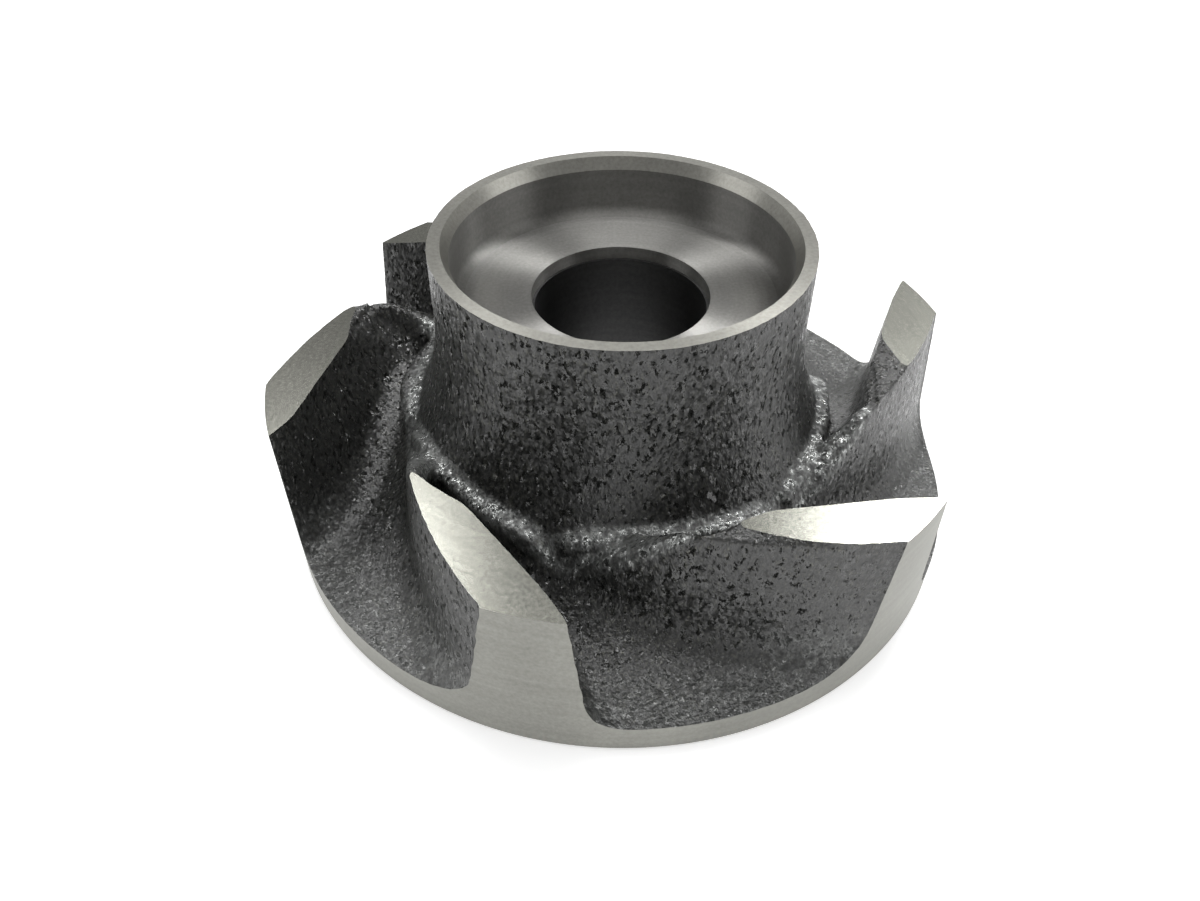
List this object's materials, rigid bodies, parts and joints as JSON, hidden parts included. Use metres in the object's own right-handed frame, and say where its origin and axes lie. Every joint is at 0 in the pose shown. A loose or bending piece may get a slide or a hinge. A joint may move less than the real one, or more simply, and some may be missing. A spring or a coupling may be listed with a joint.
{
  "type": "pump impeller",
  "caption": "Open centrifugal pump impeller cast in one piece, with curved vanes on a back plate and a hub bored for a shaft and recessed for a shaft seal.",
  "frame": {"origin": "centre of the flat back face, on the shaft axis", "axes": "+Z along the shaft axis, from the back face towards the seal end of the hub, which is up; the outer end of one vane's top lies at 257 degrees about +Z from +X, near -Y, and the others follow every 60 degrees"},
  "size_m": [0.079, 0.079, 0.0343],
  "materials": {
    "cast_iron": "as cast and dark, with the rim, vane tops, hub end and bores turned bright"
  },
  "bodies": {
    "root": {"impeller": "cast_iron"}
  },
  "joints": []
}
